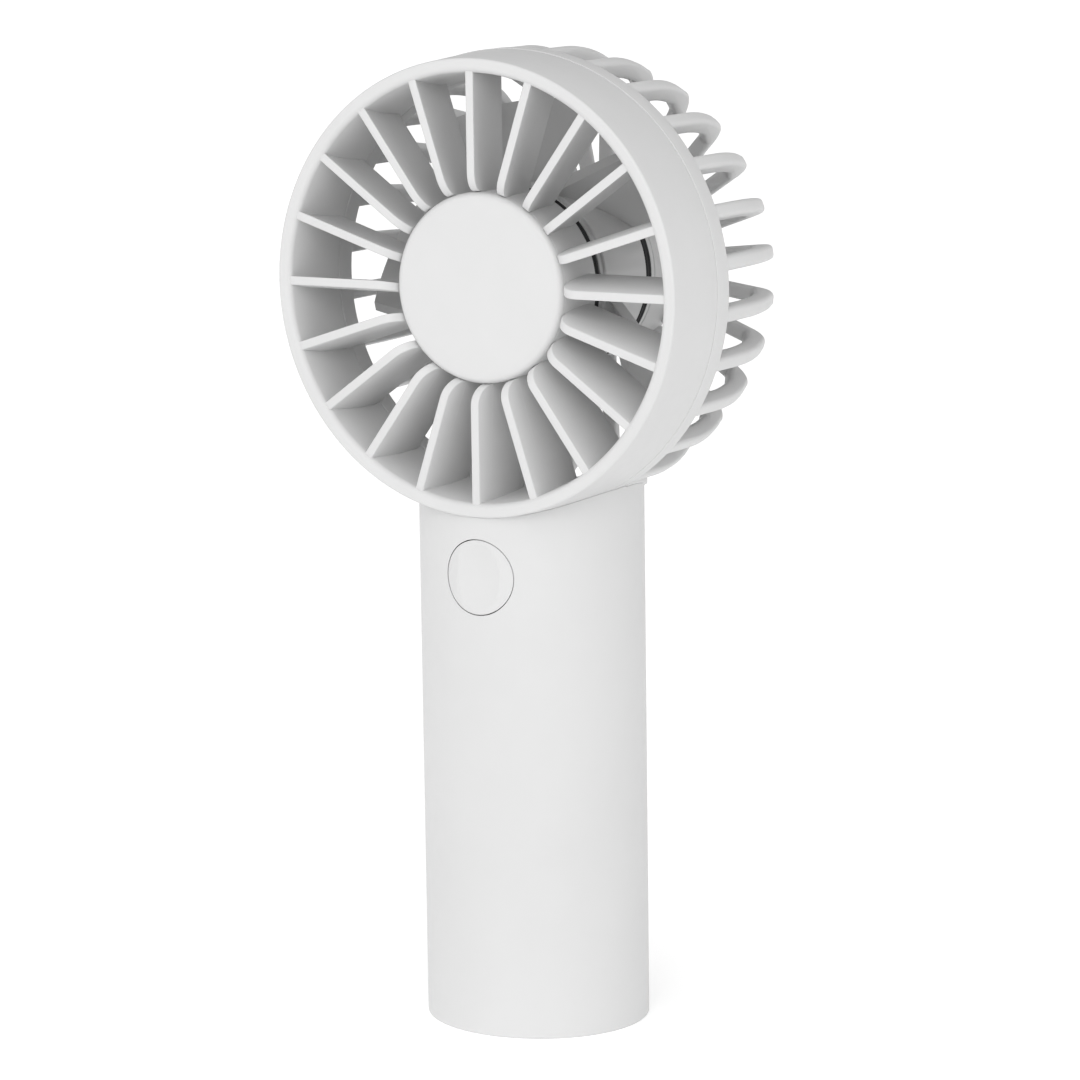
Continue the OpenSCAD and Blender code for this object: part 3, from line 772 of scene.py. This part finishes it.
class FAN_OT_rear_cage(bpy.types.Operator):
    """Builds the rear ring, its bent ribs, the rear hub and the neck saddle"""

    bl_idname = "fan.rear_cage"
    bl_label = "Rear cage"

    def execute(self, context):
        sizes = context.scene.fan_sizes
        inner, start = CAGE_R - 5.2, SEAM + 0.03
        ring = lathe(
            "rear_ring",
            rounded(
                [
                    (inner, start, 0.12),
                    (CAGE_R, start, 0.16),
                    (CAGE_R, RING_END, 0.7),
                    (inner - 0.1, RING_END, 0.9),
                ],
                4,
            ),
            RING_STEPS,
        )
        rib = slab("rib", rib_outline(), sizes.rib_width)
        soften(rib, sizes.rib_round, 4, 60)
        ribs = repeat(rib, sizes.rib_count, HALF_TURN / sizes.rib_count)
        back_t, dish, groove = 2.6, 0.6, 0.25
        front, hub_in = REAR_HUB_FRONT, REAR_HUB_R - HUB_WALL
        hub = lathe(
            "rear_hub",
            rounded(
                [
                    (0, CAGE_END - back_t, 0),
                    (hub_in, CAGE_END - back_t, 0.8),
                    (hub_in, front, 0.15),
                    (REAR_HUB_R, front, 0.35),
                    (REAR_HUB_R, front + 1.3, 0.1),
                    (REAR_HUB_R - groove, front + 1.4, 0.05),
                    (REAR_HUB_R - groove, front + 1.8, 0.05),
                    (REAR_HUB_R, front + 1.9, 0.1),
                    (REAR_HUB_R, CAGE_END, 1.1),
                    (REAR_HUB_R - 2.6, CAGE_END, 0.5),
                    (REAR_HUB_R - 3.2, CAGE_END - dish, 0.5),
                    (0, CAGE_END - dish, 0),
                ],
                4,
            ),
            HUB_STEPS,
        )
        head = put_on_head(join(ring, ribs, hub))
        saddle_in, saddle_front, saddle_back = SADDLE_R - SADDLE_T, RING_END - 1, 46
        saddle = lathe(
            "saddle",
            [
                (saddle_in, saddle_front),
                (SADDLE_R, saddle_front),
                (SADDLE_R, saddle_back),
                (saddle_in, saddle_back),
            ],
            RING_STEPS,
        )
        put_on_head(saddle)
        cut(saddle, oval_bar("neck_trim", AXIS_Z - CAGE_R - 8, AXIS_Z - 20, 0.6), "INTERSECT")
        soften(saddle, 0.25 * MM, 3, 50)
        piece = join(head, saddle)
        finish_piece(piece, "rear_cage_moulding", "housing", "cage_white", "rear_cage")
        return {"FINISHED"}


class FAN_OT_hub_seals(bpy.types.Operator):
    """Builds the black lip seals on the ends of the two fixed hubs; their near-black rubber is painted shade
    for the deep slots round the impeller
    """

    bl_idname = "fan.hub_seals"
    bl_label = "Hub seals"

    def execute(self, context):
        reach, spigot, depth, groove, edge = 1.8, 1.5, 2.8, 0.12, 0.3
        # The rear seal stands a little proud so that more of its black band, painted shade in the slot, shows
        # past the impeller
        for name, outer, proud, face, way in (
            ("front_seal", HUB_R, -0.06, HUB_END, 1),
            ("rear_seal", REAR_HUB_R, 0.12, REAR_HUB_FRONT, -1),
        ):
            lip, inner, spigot_r = outer + proud, outer - depth, outer - HUB_WALL - 0.05
            outline = [(inner, -spigot), (spigot_r, -spigot), (spigot_r, 0), (lip, 0), (lip, 0.5)]
            outline += [(lip - groove, 0.6), (lip - groove, 0.75), (lip, 0.85), (lip, reach - edge)]
            outline += [(lip - edge, reach), (inner, reach)]
            shade_seal = put_on_head(lathe(name + "_lip", [(r, face + way * z) for r, z in outline], HUB_STEPS))
            finish_piece(shade_seal, name + "_ring", "housing", "seal_black", name)
        return {"FINISHED"}


class FAN_OT_impeller(bpy.types.Operator):
    """Builds the impeller's stepped hub and its turned blades"""

    bl_idname = "fan.impeller"
    bl_label = "Impeller"

    def execute(self, context):
        sizes = context.scene.fan_sizes
        hub_r, step, step_in, wall, face = 18.4, 1.0, 0.7, 2.9, 1.6
        shaft_r, boss_r, root_out = 1.0, 3.0, 0.7
        z0, z1 = ROTOR_START, ROTOR_END
        hub = lathe(
            "impeller_hub",
            rounded(
                [
                    (shaft_r, z0, 0),
                    (hub_r - 2 * step_in, z0, 0.25),
                    (hub_r - 2 * step_in, z0 + step, 0.1),
                    (hub_r - step_in, z0 + step, 0.25),
                    (hub_r - step_in, z0 + 2 * step, 0.1),
                    (hub_r, z0 + 2 * step, 0.3),
                    (hub_r, z1, 0.35),
                    (hub_r - wall, z1, 0.2),
                    (hub_r - wall, z0 + face, 0.6),
                    (boss_r, z0 + face, 0.5),
                    (boss_r, z1, 0.3),
                    (shaft_r, z1, 0),
                ],
                3,
            ),
            HUB_STEPS,
        )

        # A blade starts as a straight bar set off from the axis, and turns as it is drawn back
        tip_r, root_r, offset = ROTOR_HIGH.x, hub_r - root_out, 13.6
        root_t, tip_t, trim, slices, stations = 2.1, 1.5, 0.6, 14, 8
        first_blade, webs_wanted, web_t, web_in = math.radians(48), 6, 1.2, 2.5

        def edge(radius, y):
            return (math.sqrt(radius**2 - y**2), y)

        upper, lower = [], []
        for k in range(stations + 1):
            radius = root_r + (tip_r - root_r) * k / stations
            half = (root_t + (tip_t - root_t) * k / stations) / 2
            upper.append(edge(radius, -offset + half))
            lower.append(edge(radius, -offset - half))
        blade = trace("blade", lower + upper[::-1], "XY")
        length = (z1 - z0 - 2 * trim) / slices
        turn = sizes.blade_turn / slices
        bpy.ops.mesh.select_all(action="SELECT")
        bpy.ops.transform.translate(value=(0, 0, (z0 + trim) * MM))
        for _ in range(slices):
            bpy.ops.mesh.extrude_region_move(TRANSFORM_OT_translate={"value": (0, 0, length * MM)})
            bpy.ops.transform.rotate(value=-turn, orient_axis="Z", center_override=(0, 0, 0))
        outward()
        soften(blade, 0.5 * MM, 3, 50)
        blades = repeat(blade, sizes.blade_count, first_blade)
        web_out, web_front, web_back = hub_r - 1, z0 + 1, z1 - 1.5
        web = slab(
            "web",
            [(web_in, web_front), (web_out, web_front), (web_out, web_back), (web_in, web_back)],
            web_t * MM,
        )
        webs = repeat(web, webs_wanted)
        piece = put_on_head(join(hub, blades, webs))
        finish_piece(piece, "impeller_moulding", "rotor", "impeller_white", "impeller")
        return {"FINISHED"}


class FAN_OT_lead_sleeves(bpy.types.Operator):
    """Builds the white sleeves over the motor leads between the fixed hub and the ring"""

    bl_idname = "fan.lead_sleeves"
    bl_label = "Lead sleeves"

    def execute(self, context):
        radius, bore, lead_x, lead_y = 0.66, 0.5, 0.7, LEAD_DEPTH + RIM_Y
        bottom, top = AXIS_Z - 43.4, AXIS_Z - HUB_R + 0.6
        profile = rounded([(bore, bottom, 0), (radius, bottom, 0.1), (radius, top, 0.1), (bore, top, 0)], 3)
        sleeves = []
        for side in (-1, 1):
            sleeve = lathe("sleeve", profile, 32)
            sleeves.append(bake_place(sleeve, Matrix.Translation((side * lead_x * MM, lead_y * MM, 0))))
        piece = join(*sleeves)
        finish_piece(piece, "motor_lead_sleeves", "housing", "guide_white")
        return {"FINISHED"}


# ---- Handle ----


def facing_front(piece):
    """Turns a piece drawn round +z to point forwards at the button's height."""
    turned = Matrix.Rotation(HALF_TURN / 2, 4, "X")
    return bake_place(piece, Matrix.Translation((0, 0, BUTTON_Z * MM)) @ turned)


class FAN_OT_handle(bpy.types.Operator):
    """Builds the oval handle with its saddle-cut top, button hole and charging slot"""

    bl_idname = "fan.handle"
    bl_label = "Handle"

    def execute(self, context):
        sizes = context.scene.fan_sizes
        touch, step, lower_rim, button_gap, port_gap = 0.05, 0.01, 0.45, 0.2, 0.5
        shell = oval_bar("handle", 0, AXIS_Z - 20)
        soften(shell, lower_rim * MM, 4, 60)

        # Room for the head: the ring's cone, the cage and the saddle, each with its clearance
        room_front, room_back, saddle_front = -5, 52, RING_END - 1
        room = lathe(
            "head_room",
            [
                (0, room_front),
                (RIM_R + touch, room_front),
                (RIM_R + touch, 0),
                (RING_R + touch, SEAM),
                (CAGE_R + touch, SEAM + step),
                (CAGE_R + touch, saddle_front),
                (SADDLE_R + touch, saddle_front + step),
                (SADDLE_R + touch, room_back),
                (0, room_back),
            ],
            RING_STEPS,
        )
        cut(shell, put_on_head(room))

        # The hollow stops one wall below the saddle
        inside = oval_bar("inside", -1, AXIS_Z - 10, -HANDLE_WALL)
        roof_r, roof_front, roof_back = SADDLE_R + touch + SADDLE_T, -6, 60
        roof = lathe(
            "roof", [(0, roof_front), (roof_r, roof_front), (roof_r, roof_back), (0, roof_back)], RING_STEPS
        )
        cut(inside, put_on_head(roof))
        cut(shell, inside)

        hole = tube("button_hole", sizes.button_radius / MM + button_gap, 5, HANDLE_B + 5, 96)
        cut(shell, facing_front(hole))

        port_z = (PORT_LOW.z + PORT_HIGH.z) / 2
        half_w = (PORT_HIGH.x - PORT_LOW.x + port_gap) / 2
        half_h = (PORT_HIGH.z - PORT_LOW.z + port_gap) / 2
        corners = ((-1, -1), (1, -1), (1, 1), (-1, 1))
        port_slot = slab(
            "port_slot",
            rounded([(x * half_w, port_z + z * half_h, half_h - 0.01) for x, z in corners], 8),
            12 * MM,
        )
        bake_place(port_slot, Matrix.Translation((0, (HANDLE_B + 1) * MM, 0)))
        cut(shell, port_slot)

        lead_hole = tube("lead_hole", 1.6, AXIS_Z - 50, AXIS_Z - 40, 32)
        bake_place(lead_hole, Matrix.Translation((0, (LEAD_DEPTH + RIM_Y) * MM, 0)))
        cut(shell, lead_hole)
        finish_piece(shell, "handle_moulding", "housing", "handle_white", "handle_shell", smooth=30)
        return {"FINISHED"}


class FAN_OT_power_button(bpy.types.Operator):
    """Builds the round power button with its thumb dish"""

    bl_idname = "fan.power_button"
    bl_label = "Power button"

    def execute(self, context):
        sizes = context.scene.fan_sizes
        radius, dish = sizes.button_radius / MM, sizes.dish_depth / MM
        low, stem_r, flange_r = -BUTTON_HIGH.y, 1.8, radius + 1
        flange_y, flange_t = HANDLE_B - HANDLE_WALL - 2.2, 1.2
        button = lathe(
            "button",
            rounded(
                [
                    (0, low, 0),
                    (stem_r, low, 0.2),
                    (stem_r, flange_y - flange_t, 0.2),
                    (flange_r, flange_y - flange_t, 0.3),
                    (flange_r, flange_y, 0.3),
                    (radius, flange_y, 0.1),
                    (radius, HANDLE_B + 1, 0),
                    (0, HANDLE_B + 1, 0),
                ],
                3,
            ),
            96,
        )
        facing_front(button)
        cut(button, oval_bar("button_trim", AXIS_Z - 80, AXIS_Z - 30), "INTERSECT")
        dish_r = ((radius - 0.6) ** 2 + dish**2) / (2 * dish)
        deselect()
        bpy.ops.mesh.primitive_uv_sphere_add(
            segments=192,
            ring_count=192,
            radius=dish_r * MM,
            location=(0, 0, (HANDLE_B - dish + dish_r) * MM),
        )
        ball = bpy.context.object
        bake_place(ball)
        cut(button, facing_front(ball))
        soften(button, 0.18 * MM, 2, 50)
        finish_piece(button, "power_button_moulding", "button", "button_white", "power_button", smooth=30)
        return {"FINISHED"}


class FAN_OT_base(bpy.types.Operator):
    """Builds the base cap and its cross-head screws"""

    bl_idname = "fan.base"
    bl_label = "Base cap and screws"

    def execute(self, context):
        gap, steps = 0.12, 48
        cap = oval_bar("base", 0, BASE_HIGH.z, -HANDLE_WALL - gap)
        screw_y, screw_r, sink_r, sink_end = HANDLE_B - HANDLE_WALL - 2.4, 1.1, 2.2, 4
        soften(cap, 0.25 * MM, 3, 60)
        hole_r = screw_r + 0.15
        outline = [(0, -0.2), (sink_r, -0.2), (sink_r, 0.1), (hole_r, 1.3), (hole_r, sink_end), (0, sink_end)]
        for side in (-1, 1):
            sink = lathe("sink", outline, steps)
            bake_place(sink, Matrix.Translation((0, side * screw_y * MM, 0)))
            cut(cap, sink)
        finish_piece(cap, "base_cap_moulding", "housing", "base_white", "base_cap")
        screws = []
        head_r, head_front, screw_end, cross_turn = 1.95, 0.2, 10, 0.4
        outline = rounded(
            [
                (0, head_front, 0),
                (head_r, head_front, 0.12),
                (head_r, 0.35, 0),
                (screw_r, 1.15, 0.1),
                (screw_r - 0.1, screw_end, 0.3),
                (0, screw_end, 0),
            ],
            3,
        )
        for side in (-1, 1):
            screw = lathe("screw", outline, steps)
            for turn in (0, 1):
                cross = slab("cross", [(-1.05, 0), (1.05, 0), (0.55, 1.0), (-0.55, 1.0)], 0.36 * MM)
                bake_place(cross, Matrix.Rotation(turn * HALF_TURN / 2 + cross_turn * side, 4, "Z"))
                cut(screw, cross)
            bake_place(screw, Matrix.Translation((0, side * screw_y * MM, 0)))
            screws.append(screw)
        piece = join(*screws)
        finish_piece(piece, "base_screw_heads", "housing", "steel", "base_screws")
        return {"FINISHED"}


# ---- Stage ----


def pale_floor():
    """A nearly white floor that glows a little, so that it meets the background without an edge."""
    deselect()
    bpy.ops.mesh.primitive_plane_add(size=12)
    floor = bpy.context.object
    floor.name = "floor"
    n = Nodes("floor_white")
    n.colour(n.blend(n.spread(n.noise(2, 2), 0, 1), (0.86, 0.86, 0.86), (0.88, 0.88, 0.88)))
    n.rough(n.spread(n.noise(30, 2), 0.75, 0.85))
    n.shader.inputs["Emission Color"].default_value = (1, 1, 1, 1)
    n.shader.inputs["Emission Strength"].default_value = 0.34
    floor.data.materials.append(n.material)


def light_tent(scene):
    """A soft light tent: brightest in front, dimmer behind, with an even bright band low down."""
    world = bpy.data.worlds.new("studio")
    scene.world = world
    world.use_nodes = True
    tree = world.node_tree
    brightest_from, low_strength = Vector((0.2, -0.95, 0.05)).normalized(), 1.04
    direction = tree.nodes.new("ShaderNodeTexCoord")
    toward = tree.nodes.new("ShaderNodeVectorMath")
    toward.operation = "DOT_PRODUCT"
    toward.inputs[1].default_value = brightest_from
    tent = tree.nodes.new("ShaderNodeMapRange")
    for name, value in (("From Min", -0.75), ("From Max", 0.9), ("To Min", 0.3), ("To Max", 1.5)):
        tent.inputs[name].default_value = value
    height_of = tree.nodes.new("ShaderNodeSeparateXYZ")
    low_band = tree.nodes.new("ShaderNodeMapRange")
    low_band.interpolation_type = "SMOOTHSTEP"
    for name, value in (("From Min", 0.1), ("From Max", 0.26)):
        low_band.inputs[name].default_value = value
    backdrop = tree.nodes.new("ShaderNodeMix")
    backdrop.inputs["A"].default_value = low_strength
    background = tree.nodes["Background"]
    background.inputs["Color"].default_value = (1, 1, 1, 1)
    for source, target in (
        (direction.outputs["Generated"], toward.inputs[0]),
        (toward.outputs["Value"], tent.inputs["Value"]),
        (direction.outputs["Generated"], height_of.inputs[0]),
        (height_of.outputs["Z"], low_band.inputs["Value"]),
        (low_band.outputs["Result"], backdrop.inputs["Factor"]),
        (tent.outputs["Result"], backdrop.inputs["B"]),
        (backdrop.outputs["Result"], background.inputs["Strength"]),
    ):
        tree.links.new(source, target)


def soft_light(name, place, aim, size, power):
    """A round area lamp at a place, aimed at a point."""
    bpy.ops.object.light_add(type="AREA", location=place)
    lamp = bpy.context.object
    lamp.name = name
    lamp.data.shape = "DISK"
    lamp.data.size = size
    lamp.data.energy = power
    lamp.rotation_euler = (Vector(aim) - Vector(place)).to_track_quat("-Z", "Y").to_euler()


def front_camera(scene):
    """A long lens from the front right, a little above, aimed at the middle of the fan."""
    azimuth, elevation, roll = (math.radians(a) for a in (30.342, 9.936, -0.789))
    side, height, distance, lens, sensor = 1.54, 95.536, 832.958, 141.0, 36
    back = Vector(
        (
            math.sin(azimuth) * math.cos(elevation),
            -math.cos(azimuth) * math.cos(elevation),
            math.sin(elevation),
        )
    )
    target = Vector((side * math.cos(azimuth), side * math.sin(azimuth), height))
    right = Vector((math.cos(azimuth), math.sin(azimuth), 0))
    up = back.cross(right)
    turned_right = right * math.cos(roll) + up * math.sin(roll)
    turned_up = up * math.cos(roll) - right * math.sin(roll)
    bpy.ops.object.camera_add()
    camera = bpy.context.object
    pose = Matrix((turned_right, turned_up, back)).transposed().to_4x4()
    pose.translation = (target + back * distance) * MM
    camera.matrix_world = pose
    camera.data.lens = lens
    camera.data.sensor_width = sensor
    camera.data.clip_start = 0.01
    camera.data.clip_end = 50
    scene.camera = camera


class FAN_OT_stage(bpy.types.Operator):
    """Makes the pale floor, the soft studio light and the camera"""

    bl_idname = "fan.stage"
    bl_label = "Stage"

    def execute(self, context):
        scene = context.scene
        scene.view_settings.view_transform = "Standard"
        pale_floor()
        light_tent(scene)
        soft_light("key_light", (0.42, -0.9, 0.56), aim=(0, 0, 0.1), size=0.45, power=1.6)
        front_camera(scene)
        return {"FINISHED"}


class FAN_PT_panel(bpy.types.Panel):
    """Lists the fan's pieces, sizes and colours"""

    bl_idname = "FAN_PT_panel"
    bl_label = "Handheld fan"
    bl_space_type = "VIEW_3D"
    bl_region_type = "UI"
    bl_category = "Fan"

    def draw(self, context):
        for group in (context.scene.fan_sizes, context.scene.fan_finish):
            for key in group.__annotations__:
                self.layout.prop(group, key)
        for operator in PIECES:
            self.layout.operator(operator.bl_idname)


PIECES = (
    FAN_OT_finishes,
    FAN_OT_front_grille,
    FAN_OT_hub_cap,
    FAN_OT_rear_cage,
    FAN_OT_hub_seals,
    FAN_OT_impeller,
    FAN_OT_lead_sleeves,
    FAN_OT_handle,
    FAN_OT_power_button,
    FAN_OT_base,
    FAN_OT_stage,
)
CLASSES = (FanSizes, FanFinish, *PIECES, FAN_PT_panel)


def register():
    for c in CLASSES:
        bpy.utils.register_class(c)
    bpy.types.Scene.fan_sizes = PointerProperty(type=FanSizes)
    bpy.types.Scene.fan_finish = PointerProperty(type=FanFinish)


def unregister():
    del bpy.types.Scene.fan_finish
    del bpy.types.Scene.fan_sizes
    for c in reversed(CLASSES):
        bpy.utils.unregister_class(c)


def main():
    register()
    for operator in PIECES:
        area, name = operator.bl_idname.split(".")
        getattr(getattr(bpy.ops, area), name)()


if __name__ == "__main__":
    main()
